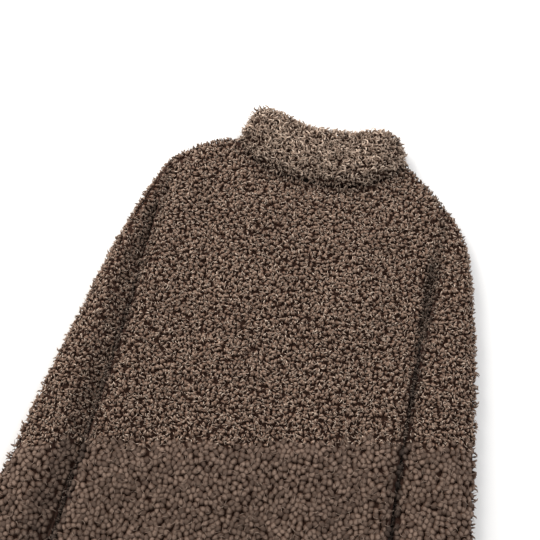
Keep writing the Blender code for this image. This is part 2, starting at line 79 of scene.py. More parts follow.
def take(node, name):
    return [s for s in node.outputs if s.name == name and s.enabled][0]


def maths(tree, operation, *values, clamp=False):
    node = addNode(tree, "ShaderNodeMath", operation=operation, use_clamp=clamp)
    for socket, value in zip(node.inputs, values):
        feed(tree, socket, value)
    return node.outputs[0]


def vectorMaths(tree, operation, *values):
    node = addNode(tree, "ShaderNodeVectorMath", operation=operation)
    for socket, value in zip(node.inputs, values):
        feed(tree, socket, value)
    return node.outputs[0]


def mixColour(tree, share, first, second, blend="MIX"):
    node = addNode(tree, "ShaderNodeMix", data_type="RGBA", blend_type=blend)
    plug(tree, node, Factor=share, A=first, B=second)
    return take(node, "Result")


def scaled(tree, vector, scale):
    node = addNode(tree, "ShaderNodeVectorMath", operation="SCALE")
    return plug(tree, node, Vector=vector, Scale=scale).outputs[0]


def noise(tree, place, **values):
    return plug(tree, addNode(tree, "ShaderNodeTexNoise"), Vector=place, **values)


def chance(tree, kind, least, most, seed):
    node = addNode(tree, "FunctionNodeRandomValue", data_type=kind)
    return take(plug(tree, node, Min=least, Max=most, Seed=seed), "Value")


# 0 to 1 as the value goes from low to high, with a soft start and end.
def ramp(tree, value, low, high):
    node = addNode(tree, "ShaderNodeMapRange", interpolation_type="SMOOTHSTEP")
    plug(tree, node, Value=value, From_Min=low, From_Max=high, To_Min=0.0, To_Max=1.0)
    return take(node, "Result")


def attribute(tree, name):
    node = addNode(tree, "ShaderNodeAttribute", attribute_name=name, attribute_type="GEOMETRY")
    return node.outputs["Fac"]


def smoothStep(value):
    value = np.clip(value, 0.0, 1.0)
    return value * value * (3.0 - 2.0 * value)


# Camera, light and floor
cameraSpot = {"aim": (-0.0390, 0.1401, 0.0), "elevation": 75.0, "turn": 13.5, "distance": 1.55,
              "lens": 66.667, "sensor": 36.0}
lightAim = (-0.03, 0.08, 0.0)
lights = {
    "key": {"place": (-1.75, 1.25, 1.10), "size": 2.0, "watts": 100.0, "colour": (1.0, 0.965, 0.925)},
    "fill": {"place": (1.3, 1.5, 1.0), "size": 2.0, "watts": 44.0, "colour": (0.97, 0.98, 1.0)},
}
surround = {"strength": 0.64, "colour": (1.0, 0.99, 0.975)}
paper = {"half": 4.0, "roughness": 0.9, "grain": 3.0, "darker": (0.76, 0.76, 0.76, 1),
         "paler": (0.78, 0.78, 0.78, 1)}


def addCamera():
    data = bpy.data.cameras.new("photoCamera")
    data.lens = cameraSpot["lens"]
    data.sensor_width = cameraSpot["sensor"]
    camera = linkTo(bpy.data.objects.new("photoCamera", data))
    tilt = math.radians(90.0 - cameraSpot["elevation"])
    turn = math.radians(cameraSpot["turn"])
    look = Vector((-math.sin(turn) * math.sin(tilt), math.cos(turn) * math.sin(tilt), -math.cos(tilt)))
    camera.location = Vector(cameraSpot["aim"]) - look * cameraSpot["distance"]
    camera.rotation_euler = (tilt, 0.0, turn)
    scene.camera = camera


def addLights():
    for name, light in lights.items():
        data = bpy.data.lights.new(name, "AREA")
        data.shape = "DISK"
        data.size = light["size"]
        data.energy = light["watts"]
        data.color = light["colour"]
        lamp = linkTo(bpy.data.objects.new(name, data))
        lamp.location = light["place"]
        aim = Vector(lightAim) - lamp.location
        lamp.rotation_euler = aim.to_track_quat("-Z", "Y").to_euler()
    world = bpy.data.worlds.new("paleRoom")
    world.use_nodes = True
    background = world.node_tree.nodes["Background"]
    background.inputs["Color"].default_value = (*surround["colour"], 1.0)
    background.inputs["Strength"].default_value = surround["strength"]
    scene.world = world
    scene.view_settings.view_transform = "Standard"
    scene.view_settings.look = "None"


def addFloor():
    mesh = bpy.data.meshes.new("floor")
    half = paper["half"]
    corners = [(-half, -half, 0), (half, -half, 0), (half, half, 0), (-half, half, 0)]
    mesh.from_pydata(corners, [], [(0, 1, 2, 3)])
    material = bpy.data.materials.new("palePaper")
    material.use_nodes = True
    tree = material.node_tree
    shader = tree.nodes["Principled BSDF"]
    shader.inputs["Roughness"].default_value = paper["roughness"]
    place = addNode(tree, "ShaderNodeTexCoord").outputs["Object"]
    grain = noise(tree, place, Scale=paper["grain"], Detail=2.0)
    shade = mixColour(tree, take(grain, "Fac"), paper["darker"], paper["paler"])
    tree.links.new(shade, shader.inputs["Base Color"])
    mesh.materials.append(material)
    linkTo(bpy.data.objects.new("floor", mesh))


addCamera()
addLights()
addFloor()
print("camera, light and floor")


# Shader groups
def newGroup(name, inputs, outputs):
    tree = bpy.data.node_groups.new(name, "ShaderNodeTree")
    kinds = {"colour": "NodeSocketColor", "number": "NodeSocketFloat"}
    for label, kind, value in inputs:
        socket = tree.interface.new_socket(label, in_out="INPUT", socket_type=kinds[kind])
        socket.default_value = value
    for label, kind in outputs:
        tree.interface.new_socket(label, in_out="OUTPUT", socket_type=kinds[kind])
    return tree, addNode(tree, "NodeGroupInput"), addNode(tree, "NodeGroupOutput")


# Where along a lock its body colour follows the painted-dark root and its painted pale tip comes in, which
# locks have pale tips, and how much the fibres, patches of painted light and shade, and the painted shade in
# valleys, troughs and beside seams change its colour.
lockLook = {"body": (0.12, 0.55), "tip": (0.35, 0.95), "paleTips": (0.1, 0.95), "fibreStretch": 2.2,
            "fibreShift": 40.0, "fibres": 1.3, "patchScale": 22.0, "shadePatches": 0.5, "shadeStrength": -0.8,
            "darkest": 0.15}


# Wool in a lock: the root painted dark for the shade deep in the pile, the tip painted pale for the light
# that catches it, and fine fibres along it.
def buildLockTint():
    tree, given, result = newGroup(
        "lockTint",
        (("Root", "colour", (0.02, 0.012, 0.008, 1)), ("Body", "colour", (0.13, 0.09, 0.07, 1)),
         ("Tip", "colour", (0.3, 0.24, 0.2, 1)), ("Fibres", "number", 9.0), ("Variety", "number", 0.5)),
        (("Colour", "colour"), ("Height", "number")))
    along = attribute(tree, "along")
    tone = attribute(tree, "tone")
    around = attribute(tree, "around")
    across = maths(tree, "MULTIPLY", around, given.outputs["Fibres"])
    strand = addNode(tree, "ShaderNodeCombineXYZ")
    feed(tree, strand.inputs["X"], across)
    feed(tree, strand.inputs["Y"], maths(tree, "MULTIPLY", along, lockLook["fibreStretch"]))
    feed(tree, strand.inputs["Z"], maths(tree, "MULTIPLY", tone, lockLook["fibreShift"]))
    fibres = noise(tree, strand.outputs[0], Scale=1.0, Detail=3.0, Roughness=0.6, Distortion=0.4)
    streak = take(fibres, "Fac")
    # Painted shade at the root, painted light towards the tip.
    body = ramp(tree, along, *lockLook["body"])
    colour = mixColour(tree, body, given.outputs["Root"], given.outputs["Body"])
    tip, paleTips = ramp(tree, along, *lockLook["tip"]), ramp(tree, tone, *lockLook["paleTips"])
    paler = maths(tree, "MULTIPLY", tip, paleTips)
    colour = mixColour(tree, paler, colour, given.outputs["Tip"])
    place = addNode(tree, "ShaderNodeTexCoord").outputs["Object"]
    # Painted light and shade: broad random patches lighten and darken the wool, as pile lying different ways
    # takes the light.
    shadePatches = noise(tree, place, Scale=lockLook["patchScale"], Detail=2.0)
    spread = maths(tree, "MULTIPLY", maths(tree, "SUBTRACT", tone, 0.5), given.outputs["Variety"])
    wearAndShade = maths(tree, "MULTIPLY", maths(tree, "SUBTRACT", take(shadePatches, "Fac"), 0.5),
                 maths(tree, "MULTIPLY", given.outputs["Variety"], lockLook["shadePatches"]))
    fine = maths(tree, "MULTIPLY", maths(tree, "SUBTRACT", streak, 0.5), lockLook["fibres"])
    level = maths(tree, "ADD", maths(tree, "ADD", spread, wearAndShade), maths(tree, "ADD", fine, 1.0))
    # Painted shade: the wool is darkened where the ground marks a valley, a trough or a seam.
    lit = maths(tree, "MULTIPLY_ADD", attribute(tree, "deep"), lockLook["shadeStrength"], 1.0)
    level = maths(tree, "MULTIPLY", maths(tree, "MAXIMUM", level, lockLook["darkest"]), lit)
    grey = addNode(tree, "ShaderNodeCombineColor")
    for name in ("Red", "Green", "Blue"):
        feed(tree, grey.inputs[name], level)
    colour = mixColour(tree, 1.0, colour, grey.outputs[0], "MULTIPLY")
    tree.links.new(colour, result.inputs["Colour"])
    tree.links.new(streak, result.inputs["Height"])
    return tree


weaveLook = {"dirtScale": 90.0, "dirtDetail": 4.0, "shadeStrength": -0.85}  # dirt, and painted shade deep in a valley


# Fine knit or weave: ribs one way, crossed by a finer set the other way.
def buildWeave():
    tree, given, result = newGroup(
        "crossWeave",
        (("Rib", "number", 800.0), ("Cross", "number", 1100.0), ("Low", "colour", (0.01, 0.01, 0.01, 1)),
         ("High", "colour", (0.05, 0.05, 0.05, 1))),
        (("Colour", "colour"), ("Height", "number")))
    place = addNode(tree, "ShaderNodeTexCoord").outputs["Object"]
    parts = addNode(tree, "ShaderNodeSeparateXYZ")
    feed(tree, parts.inputs[0], place)
    ribs = maths(tree, "SINE", maths(tree, "MULTIPLY", parts.outputs["X"], given.outputs["Rib"]))
    cross = maths(tree, "SINE", maths(tree, "MULTIPLY", parts.outputs["Y"], given.outputs["Cross"]))
    woven = maths(tree, "MULTIPLY_ADD", maths(tree, "ADD", ribs, cross), 0.25, 0.5)  # 0 to 1
    dirt = noise(tree, place, Scale=weaveLook["dirtScale"], Detail=weaveLook["dirtDetail"])
    share = maths(tree, "MULTIPLY", woven, take(dirt, "Fac"), clamp=True)
    # Painted shade: the knit is darkened in valleys, troughs and beside seams.
    lit = maths(tree, "MULTIPLY_ADD", attribute(tree, "deep"), weaveLook["shadeStrength"], 1.0)
    share = maths(tree, "MULTIPLY", share, lit, clamp=True)
    colour = mixColour(tree, share, given.outputs["Low"], given.outputs["High"])
    tree.links.new(colour, result.inputs["Colour"])
    tree.links.new(woven, result.inputs["Height"])
    return tree


lockTint = buildLockTint()
crossWeave = buildWeave()


surface = {"sheenRoughness": 0.45, "sheenTint": (0.62, 0.44, 0.34, 1.0), "specular": 0.3, "bump": 0.6}
wool = {"roughness": 0.88, "sheen": 0.05, "bumpDepth": 0.0006}
weave = {"roughness": 0.92, "sheen": 0.1}


def newMaterial(name, roughness, metallic=0.0, sheen=0.0):
    material = bpy.data.materials.new(name)
    material.use_nodes = True
    shader = material.node_tree.nodes["Principled BSDF"]
    shader.inputs["Roughness"].default_value = roughness
    shader.inputs["Metallic"].default_value = metallic
    shader.inputs["Sheen Weight"].default_value = sheen
    shader.inputs["Sheen Roughness"].default_value = surface["sheenRoughness"]
    shader.inputs["Sheen Tint"].default_value = surface["sheenTint"]
    shader.inputs["Specular IOR Level"].default_value = surface["specular"]
    return material, material.node_tree, shader


def addBump(tree, shader, height, distance):
    bump = addNode(tree, "ShaderNodeBump")
    bump.inputs["Strength"].default_value = surface["bump"]
    bump.inputs["Distance"].default_value = distance
    tree.links.new(height, bump.inputs["Height"])
    tree.links.new(bump.outputs["Normal"], shader.inputs["Normal"])


def pileMaterial(name, root, body, tip, fibres, variety):
    material, tree, shader = newMaterial(name, wool["roughness"], sheen=wool["sheen"])
    tint = addNode(tree, "ShaderNodeGroup", node_tree=lockTint)
    plug(tree, tint, Root=(*root, 1), Body=(*body, 1), Tip=(*tip, 1), Fibres=fibres, Variety=variety)
    tree.links.new(tint.outputs["Colour"], shader.inputs["Base Color"])
    addBump(tree, shader, tint.outputs["Height"], wool["bumpDepth"])
    return material


def wovenMaterial(name, rib, cross, low, high, depth):
    material, tree, shader = newMaterial(name, weave["roughness"], sheen=weave["sheen"])
    threads = addNode(tree, "ShaderNodeGroup", node_tree=crossWeave)
    plug(tree, threads, Rib=rib, Cross=cross, Low=(*low, 1), High=(*high, 1))
    tree.links.new(threads.outputs["Colour"], shader.inputs["Base Color"])
    addBump(tree, shader, threads.outputs["Height"], depth)
    return material


# The colours of each pile from root to tip, with the root's colour painted shade and the tip's painted
# light, the fibres round a lock, and how much locks differ.
woolTints = {
    "curls": {"name": "brownCurls", "root": (0.060, 0.021, 0.009), "body": (0.150, 0.098, 0.071),
              "tip": (0.51, 0.415, 0.335), "fibres": 6.0, "variety": 0.5},
    # The lower curls are a darker copy of the top curls' wool: painted shade under the top layer.
    "lowCurls": {"name": "darkCurls", "root": (0.056, 0.019, 0.008), "body": (0.133, 0.081, 0.056),
                 "tip": (0.245, 0.180, 0.138), "fibres": 6.0, "variety": 0.4},
    "pebbles": {"name": "brownPebbles", "root": (0.052, 0.026, 0.015), "body": (0.052, 0.031, 0.021),
                "tip": (0.152, 0.104, 0.079), "fibres": 12.0, "variety": 0.3},
    "fuzz": {"name": "brownFuzz", "root": (0.060, 0.034, 0.023), "body": (0.130, 0.086, 0.065),
             "tip": (0.25, 0.19, 0.15), "fibres": 3.0, "variety": 0.4},
    # The collar's and the wisps' wool is a paler copy of the back's: painted light on the raised collar and
    # its loose fibres.
    "collar": {"name": "collarCurls", "root": (0.058, 0.028, 0.016), "body": (0.225, 0.153, 0.112),
               "tip": (0.54, 0.435, 0.350), "fibres": 6.0, "variety": 0.6},
    "wisps": {"name": "paleWisps", "root": (0.14, 0.09, 0.065), "body": (0.38, 0.28, 0.21),
              "tip": (0.60, 0.49, 0.40), "fibres": 3.0, "variety": 0.5},
}
knit = {"name": "darkKnit", "rib": 2600.0, "cross": 3400.0, "low": (0.024, 0.008, 0.004),
        "high": (0.074, 0.034, 0.019), "depth": 0.0004}
finishes = {kind: pileMaterial(**tint) for kind, tint in woolTints.items()}
finishes["ground"] = wovenMaterial(**knit)


# Cloth surfaces. A face whose normal rises more than "level" is top or underside, and a rim
# nearer to another wall than "seam" is sewn to it.
skinRules = {"merge": 1e-6, "level": 0.12, "nudge": 1e-5, "seam": 0.0006, "joinAngle": 0.9,
             "shapeAngle": 3.1, "smoothing": 1}


# The side of a CAD wall that shows: the top of the upper layer, the underside of the
# lower one and the free rims, but neither the inside nor the edges that are sewn together.
def outerSkin(name, layer, walls):
    mesh = bmesh.new()
    mesh.from_mesh(nodes[name].data)
    bmesh.ops.remove_doubles(mesh, verts=mesh.verts, dist=skinRules["merge"])
    hidden = []
    for face in mesh.faces:
        centre, normal = face.calc_center_median(), face.normal
        if abs(normal.z) > skinRules["level"]:
            shows = (normal.z > 0) == (layer == "upper" or (layer == "both" and centre.z > layerHeight))
        else:
            start = centre + normal * skinRules["nudge"]
            reach = {other: tree.ray_cast(start, normal)[3] for other, tree in walls.items()}
            shows = reach[name] is None and all(d is None or d > skinRules["seam"] for d in reach.values())
        if not shows:
            hidden.append(face)
    bmesh.ops.delete(mesh, geom=hidden, context="FACES")
    bmesh.ops.delete(mesh, geom=looseIslands(mesh), context="FACES")
    bmesh.ops.join_triangles(mesh, faces=mesh.faces, angle_face_threshold=skinRules["joinAngle"],
                             angle_shape_threshold=skinRules["shapeAngle"])
    skin = bpy.data.meshes.new(name + "_skin")
    mesh.to_mesh(skin)
    mesh.free()
    return skin


# Every face that isn't joined to the largest patch.
def looseIslands(mesh):
    left, islands = set(mesh.faces), []
    while left:
        island, edge = set(), [left.pop()]
        while edge:
            face = edge.pop()
            island.add(face)
            for side in face.edges:
                for other in side.link_faces:
                    if other in left:
                        left.remove(other)
                        edge.append(other)
        islands.append(island)
    islands.sort(key=len)
    return [face for island in islands[:-1] for face in island]


def plainMesh(obj, name):
    evaluated = obj.evaluated_get(bpy.context.evaluated_depsgraph_get())
    mesh = bpy.data.meshes.new_from_object(evaluated)
    mesh.name = name
    return mesh


def points(mesh):
    co = np.empty(len(mesh.vertices) * 3)
    mesh.vertices.foreach_get("co", co)
    return co.reshape(-1, 3)


def normals(mesh):
    way = np.empty(len(mesh.vertices) * 3)
    mesh.vertex_normals.foreach_get("vector", way)
    return way.reshape(-1, 3)


def setPoints(mesh, co):
    mesh.vertices.foreach_set("co", co.ravel())
    mesh.update()


# Small creases over the solid's own folds, in millimetres from the middle of the back neck seam:
# three points of each line, half width and height.
garmentPlace = np.array([-0.011, 0.295836])
creases = {
    "back": (
        ((-221, -24), (-214, -110), (-221, -212), 10, -7.0),
        ((221, -10), (215, -110), (221, -212), 9, -6.0),
        ((216, -100), (218, -160), (221, -225), 7, -6.0),
        ((-150, 10), (-120, -30), (-80, -50), 12, -2.2),
        ((150, 20), (128, -20), (96, -40), 12, -2.0),
        ((-196, -150), (-150, -170), (-100, -160), 10, 1.8),
        ((200, -170), (150, -200), (96, -190), 11, 1.8),
        ((-120, -250), (-60, -276), (20, -262), 13, -1.6),
        ((20, -140), (70, -170), (130, -164), 14, 1.6),
        ((-170, -430), (-110, -470), (-60, -460), 15, 1.8),
        ((60, -500), (120, -540), (190, -530), 14, -1.8),
        ((-60, -610), (0, -640), (50, -668), 12, 1.5),
        ((-206, -236), (-212, -450), (-222, -690), 15, 3.0),
        ((214, -236), (220, -450), (230, -690), 9, -3.0),
    ),
    "sleeve_left": (
        ((-219, -24), (-221, -110), (-221, -212), 9, -6.0),
        ((-232, -170), (-256, -190), (-276, -180), 9, -2.0),
        ((-240, -330), (-266, -344), (-296, -330), 9, 2.0),
        ((-236, -400), (-270, -426), (-306, -410), 10, -2.0),
        ((-250, -580), (-290, -570), (-330, -600), 10, 1.6),
        ((-226, -120), (-240, -400), (-266, -690), 26, -9.0),
    ),
    "sleeve_right": (
        ((219, -10), (221, -110), (221, -212), 8, -5.0),
        ((219, -100), (221, -160), (222, -225), 6, -6.0),
        ((232, -150), (260, -164), (284, -150), 9, -2.0),
        ((240, -290), (276, -310), (306, -290), 10, 2.0),
        ((244, -380), (280, -404), (318, -380), 10, -2.0),
        ((270, -580), (310, -560), (350, -590), 10, 1.6),
    ),
    "front_left": (
        ((-190, -300), (-120, -330), (-40, -310), 12, 1.0),
        ((-170, -540), (-110, -520), (-60, -560), 12, 1.0),
    ),
    "front_right": (
        ((180, -260), (110, -290), (50, -270), 12, 1.0),
        ((160, -600), (110, -570), (40, -590), 12, 1.0),
    ),
    "collar": (
        ((-70, 30), (-64, 50), (-76, 76), 8, -2.0),
        ((4, 20), (-2, 46), (8, 70), 9, 1.8),
        ((58, 20), (52, 50), (62, 80), 9, -2.0),
        ((112, 50), (106, 66), (112, 90), 8, -1.6),
    ),
}

# "upper" and "lower" are the heights where the creases of each layer begin. A trough gets painted shade from
# "shallow" millimetres on, and full painted shade where it is "deeper" more.
creaseRules = {"points": 16, "upper": 0.016, "lower": 0.012, "fade": 0.008, "shallow": 1.5, "deeper": 9.0}


# Returns the pressed points, and 0 to 1 for how deep in a trough each one lies.
def pressCreases(co, way, lines):
    plan = (co[:, :2] - garmentPlace) * 1000.0  # in millimetres, as the creases are
    lift = np.zeros(len(co))
    for start, middle, end, width, height in lines:
        start, middle, end = np.array((start, middle, end), float)
        share = np.linspace(0, 1, creaseRules["points"])[:, None]
        handle = 2 * middle - 0.5 * (start + end)
        line = (1 - share) ** 2 * start + 2 * share * (1 - share) * handle + share**2 * end
        away = np.sqrt(((plan[:, None, :] - line[None, :, :]) ** 2).sum(axis=2)).min(axis=1)
        lift += height * np.exp(-((away / width) ** 2))
    raised = way * smoothStep((co[:, 2] - creaseRules["upper"]) / creaseRules["fade"])[:, None]
    if lines in (creases["front_left"], creases["front_right"]):
        raised = way * smoothStep((creaseRules["lower"] - co[:, 2]) / creaseRules["fade"])[:, None]
        lift = -np.abs(lift)
    elif lines is not creases["collar"]:
        raised[:, :2] = 0.0
    trough = np.clip((-lift - creaseRules["shallow"]) / creaseRules["deeper"], 0.0, 1.0)
    return co + raised * lift[:, None] * 0.001, trough * np.abs(raised).max(axis=1)


# How far each piece's ground lies below the tips, and the size that the piece was cut to.
clothPieces = {
    "back": {"layer": "upper", "depth": 0.0070, "flat": (0.474, 0.742), "area": 0.325},
    "front_left": {"layer": "lower", "depth": 0.0064, "flat": (0.237, 0.742), "area": 0.160},
    "front_right": {"layer": "lower", "depth": 0.0064, "flat": (0.237, 0.742), "area": 0.160},
    "sleeve_left": {"layer": "both", "depth": 0.0070, "flat": (0.250, 0.640), "area": 0.099},
    "sleeve_right": {"layer": "both", "depth": 0.0070, "flat": (0.280, 0.640), "area": 0.124},
    "collar": {"layer": "both", "depth": 0.0088, "flat": (0.560, 0.110), "area": 0.050},
}
groundThickness = 0.0016
sideDepth = 0.62  # the depth at the sides, as a share of that on top
pebbleRise = {"share": 0.25, "blend": 0.02, "level": 0.5}  # the ground is less deep under the pebbles
thinEdge = {"share": 0.55, "reach": 0.014, "shadeShare": 0.4}  # shallower beside a seam or a hem, and painted darker there as shade
sideWalls = {"begin": 0.8, "over": 0.3}  # how level a normal is where the sides begin, and the way to full
underside = {"begin": 0.35, "over": 0.3, "zipClear": 0.0130}  # nothing hangs over the zip's teeth
collarFoot = {"reach": 0.042, "shadeShare": 0.32}  # the collar's locks are painted darker beside its seam, as shade


# How far each point of a piece is from its nearest open edge.
def edgeDistance(mesh):
    uses = {}
    for face in mesh.polygons:
        for key in face.edge_keys:
            uses[key] = uses.get(key, 0) + 1
    border = sorted({corner for key, count in uses.items() if count == 1 for corner in key})
    finder = KDTree(len(border))
    for corner in border:
        finder.insert(mesh.vertices[corner].co, corner)
    finder.balance()
    return np.array([finder.find(vertex.co)[2] for vertex in mesh.vertices])


# The valleys between the sleeves and the body: how near a neighbour counts, how much the ground
# fills them, and how dark the painted shade on their sides and in their troughs is, the left valley first.
valleys = {"clear": 0.002, "reach": 0.026, "fullness": 1.3, "facing": np.array((0.85, 1.0)),
           "trough": np.array((0.55, 0.95))}


# 1 where the cloth faces another piece close by, across the valley between a sleeve and the body.
def facingNeighbour(name, co, way, walls):
    share = np.zeros(len(co))
    for k, (place, normal) in enumerate(zip(co, way)):
        if abs(normal[2]) > sideWalls["begin"]:
            continue
        level = Vector((normal[0], normal[1], 0.0)).normalized()
        for other, tree in walls.items():
            if other != name and name != "collar":
                distance = tree.ray_cast(Vector(place) + level * valleys["clear"], level)[3]
                if distance is not None and distance < valleys["reach"]:
                    share[k] = min(1.0, (sideWalls["begin"] - abs(normal[2])) / sideWalls["over"])
    return share


def makeGround(name, settings, walls):
    skin = linkTo(bpy.data.objects.new(name + "_skin", outerSkin(name, settings["layer"], walls)))
    rounding = skin.modifiers.new("rounding", "SUBSURF")
    rounding.levels = rounding.render_levels = skinRules["smoothing"]
    mesh = plainMesh(skin, name + "_ground")
    bpy.data.objects.remove(skin)
    co, trough = pressCreases(points(mesh), normals(mesh), creases[name])
    setPoints(mesh, co)
    facing = facingNeighbour(name, co, normals(mesh), walls)
    away = edgeDistance(mesh)
    inside = smoothStep(away / thinEdge["reach"])
    depth = thinEdge["share"] + (1 - thinEdge["share"]) * inside
    upright = sideDepth + (1 - sideDepth) * np.abs(normals(mesh)[:, 2])
    depth *= upright * (1 - valleys["fullness"] * facing)
    below = napLine["height"] + napLine["slope"] * co[:, 0] - co[:, 1]
    pebbled = pebbleRise["share"] * smoothStep(below / pebbleRise["blend"])
    depth *= 1 - pebbled * smoothStep(normals(mesh)[:, 2] / pebbleRise["level"])
    setPoints(mesh, co - normals(mesh) * (settings["depth"] * depth)[:, None])
    mesh.materials.clear()
    mesh.materials.append(finishes["ground"])
    for face in mesh.polygons:
        face.use_smooth = True
    co, way = points(mesh), normals(mesh)
    under = smoothStep((-way[:, 2] - underside["begin"]) / underside["over"]) * (co[:, 2] < layerHeight)
    if name.startswith("front"):
        under = under * (np.abs(co[:, 0] - garmentPlace[0]) > underside["zipClear"])
    side = (1.0 - under) * smoothStep((sideWalls["begin"] - np.abs(way[:, 2])) / sideWalls["over"])
    # Painted shade: crease troughs, the facing sides of the valleys, the strip beside a seam or a hem and
    # the collar's foot are marked here to be painted darker.
    right = (co[:, 0] > 0).astype(int)
    shaded = trough * valleys["trough"][right]
    if name == "collar":
        shaded = collarFoot["shadeShare"] * (1.0 - smoothStep(away / collarFoot["reach"]))
    deep = np.maximum(thinEdge["shadeShare"] * (1.0 - inside), shaded)
    deep = np.maximum(facing * valleys["facing"][right], deep)
    for label, values in (("above", 1.0 - under), ("below", under), ("side", side),
                          ("top", (1.0 - under) * (1.0 - side)), ("deep", deep)):
        layer = mesh.attributes.new(label, "FLOAT", "POINT")
        layer.data.foreach_set("value", values.astype(np.float32))
    return linkTo(bpy.data.objects.new(name + "_ground", mesh))


# The faces round a stack of equal rings of points, from the lowest ring up.
def ringFaces(rings, sides):
    faces = []
    for k in range(rings - 1):
        for j in range(sides):
            n = (j + 1) % sides
            faces.append((k * sides + j, k * sides + n, (k + 1) * sides + n, (k + 1) * sides + j))
    return faces


# The same with a foot, and closed above by the point that follows the last ring.
def pointedFaces(rings, sides):
    last, tip = (rings - 1) * sides, rings * sides
    top = [(last + j, last + (j + 1) % sides, tip) for j in range(sides)]
    return ringFaces(rings, sides) + top + [tuple(reversed(range(sides)))]


# Where along a lock it heads straight on, and how its width swells from the foot up.
lockForm = {"straightAt": 0.35, "foot": 0.6, "swell": 0.4, "thinFrom": 0.8, "early": 0.8, "flatness": 0.85}


# A lock of wool: a tapered tube that rises from the cloth, leans over and curls sideways.
def makeLock(name, length, radius, climb, coil, sides, steps):
    at, side = np.zeros(3), np.array([0.0, 1.0, 0.0])
    ring = np.arange(sides) * 2 * math.pi / sides
    verts, alongs, arounds = [], [], []
    for k, share in enumerate(np.arange(steps + 1) / steps):
        rise = math.radians(climb[0] + (climb[1] - climb[0]) * share)
        turn = math.radians(coil) * (share - lockForm["straightAt"])
        way = np.array([math.cos(rise) * math.cos(turn), math.cos(rise) * math.sin(turn), math.sin(rise)])
        side = side - way * (side @ way)
        side /= np.linalg.norm(side)
        up = np.cross(way, side)
        if k < steps:
            swelling = math.sin(math.pi * min(share / lockForm["thinFrom"], 1.0) ** lockForm["early"])
            width = radius * (lockForm["foot"] + lockForm["swell"] * swelling)
            for j, angle in enumerate(ring):
                rim = math.cos(angle) * side + lockForm["flatness"] * math.sin(angle) * up
                verts.append(at + width * rim)
                alongs.append(share)
                arounds.append(j / sides)
        else:
            verts.append(at.copy())
            alongs.append(1.0)
            arounds.append(0.5)
        at = at + way * length / steps
    return makeTuft(name, verts, pointedFaces(steps, sides), alongs, arounds)


# The rings of a pebble as shares of its width and height, each turned a little further, its small
# lumps, how its painted highlight grows towards the crown above a painted-dark foot, and how far the
# crown's point lies aside.
pebbleForm = {"full": ((0.88, 0.0), (1.0, 0.54), (0.84, 0.83), (0.46, 0.96)),
              "pressed": ((0.9, -0.1), (1.0, 0.4), (0.6, 0.9)),
              "twist": 0.2, "smallLumps": 0.7, "crownLight": 1.9, "crownFrom": 0.5, "tipAside": 0.1}


# A closed, round tuft: a lumpy dome, a little longer one way.
def makePebble(name, width, height, stretch, lumps, phase, form="full", sides=8):
    levels = pebbleForm[form]
    verts, alongs, arounds = [], [], []
    for k, (spread, rise) in enumerate(levels):
        for j in range(sides):
            angle = 2 * math.pi * j / sides + pebbleForm["twist"] * k
            wobble = 1 + lumps * math.sin(2 * angle + phase)
            wobble += pebbleForm["smallLumps"] * lumps * math.sin(3 * angle - 2 * phase + k)
            reach = width / 2 * spread * wobble
            verts.append((reach * stretch * math.cos(angle), reach * math.sin(angle), height * rise))
            # Painted highlight on the crown, fading to painted shade at the rim and foot.
            alongs.append((1.0 - spread ** pebbleForm["crownLight"]) * (rise > pebbleForm["crownFrom"]))
            arounds.append(j / sides)
    aside = pebbleForm["tipAside"] * width
    verts.append((aside * math.cos(phase), aside * math.sin(phase), height))
    alongs.append(1.0)
    arounds.append(0.5)
    return makeTuft(name, verts, pointedFaces(len(levels), sides), alongs, arounds)


def makeTuft(name, verts, faces, alongs, arounds):
    mesh = bpy.data.meshes.new(name)
    mesh.from_pydata([tuple(v) for v in verts], [], faces)
    for label, values in (("along", alongs), ("around", arounds)):
        layer = mesh.attributes.new(label, "FLOAT", "POINT")
        layer.data.foreach_set("value", np.array(values, np.float32))
    for face in mesh.polygons:
        face.use_smooth = True
    return bpy.data.objects.new(name, mesh)


def tuftCollection(name, tufts):
    collection = bpy.data.collections.new(name)
    for tuft in tufts:
        collection.objects.link(tuft)
    return collection


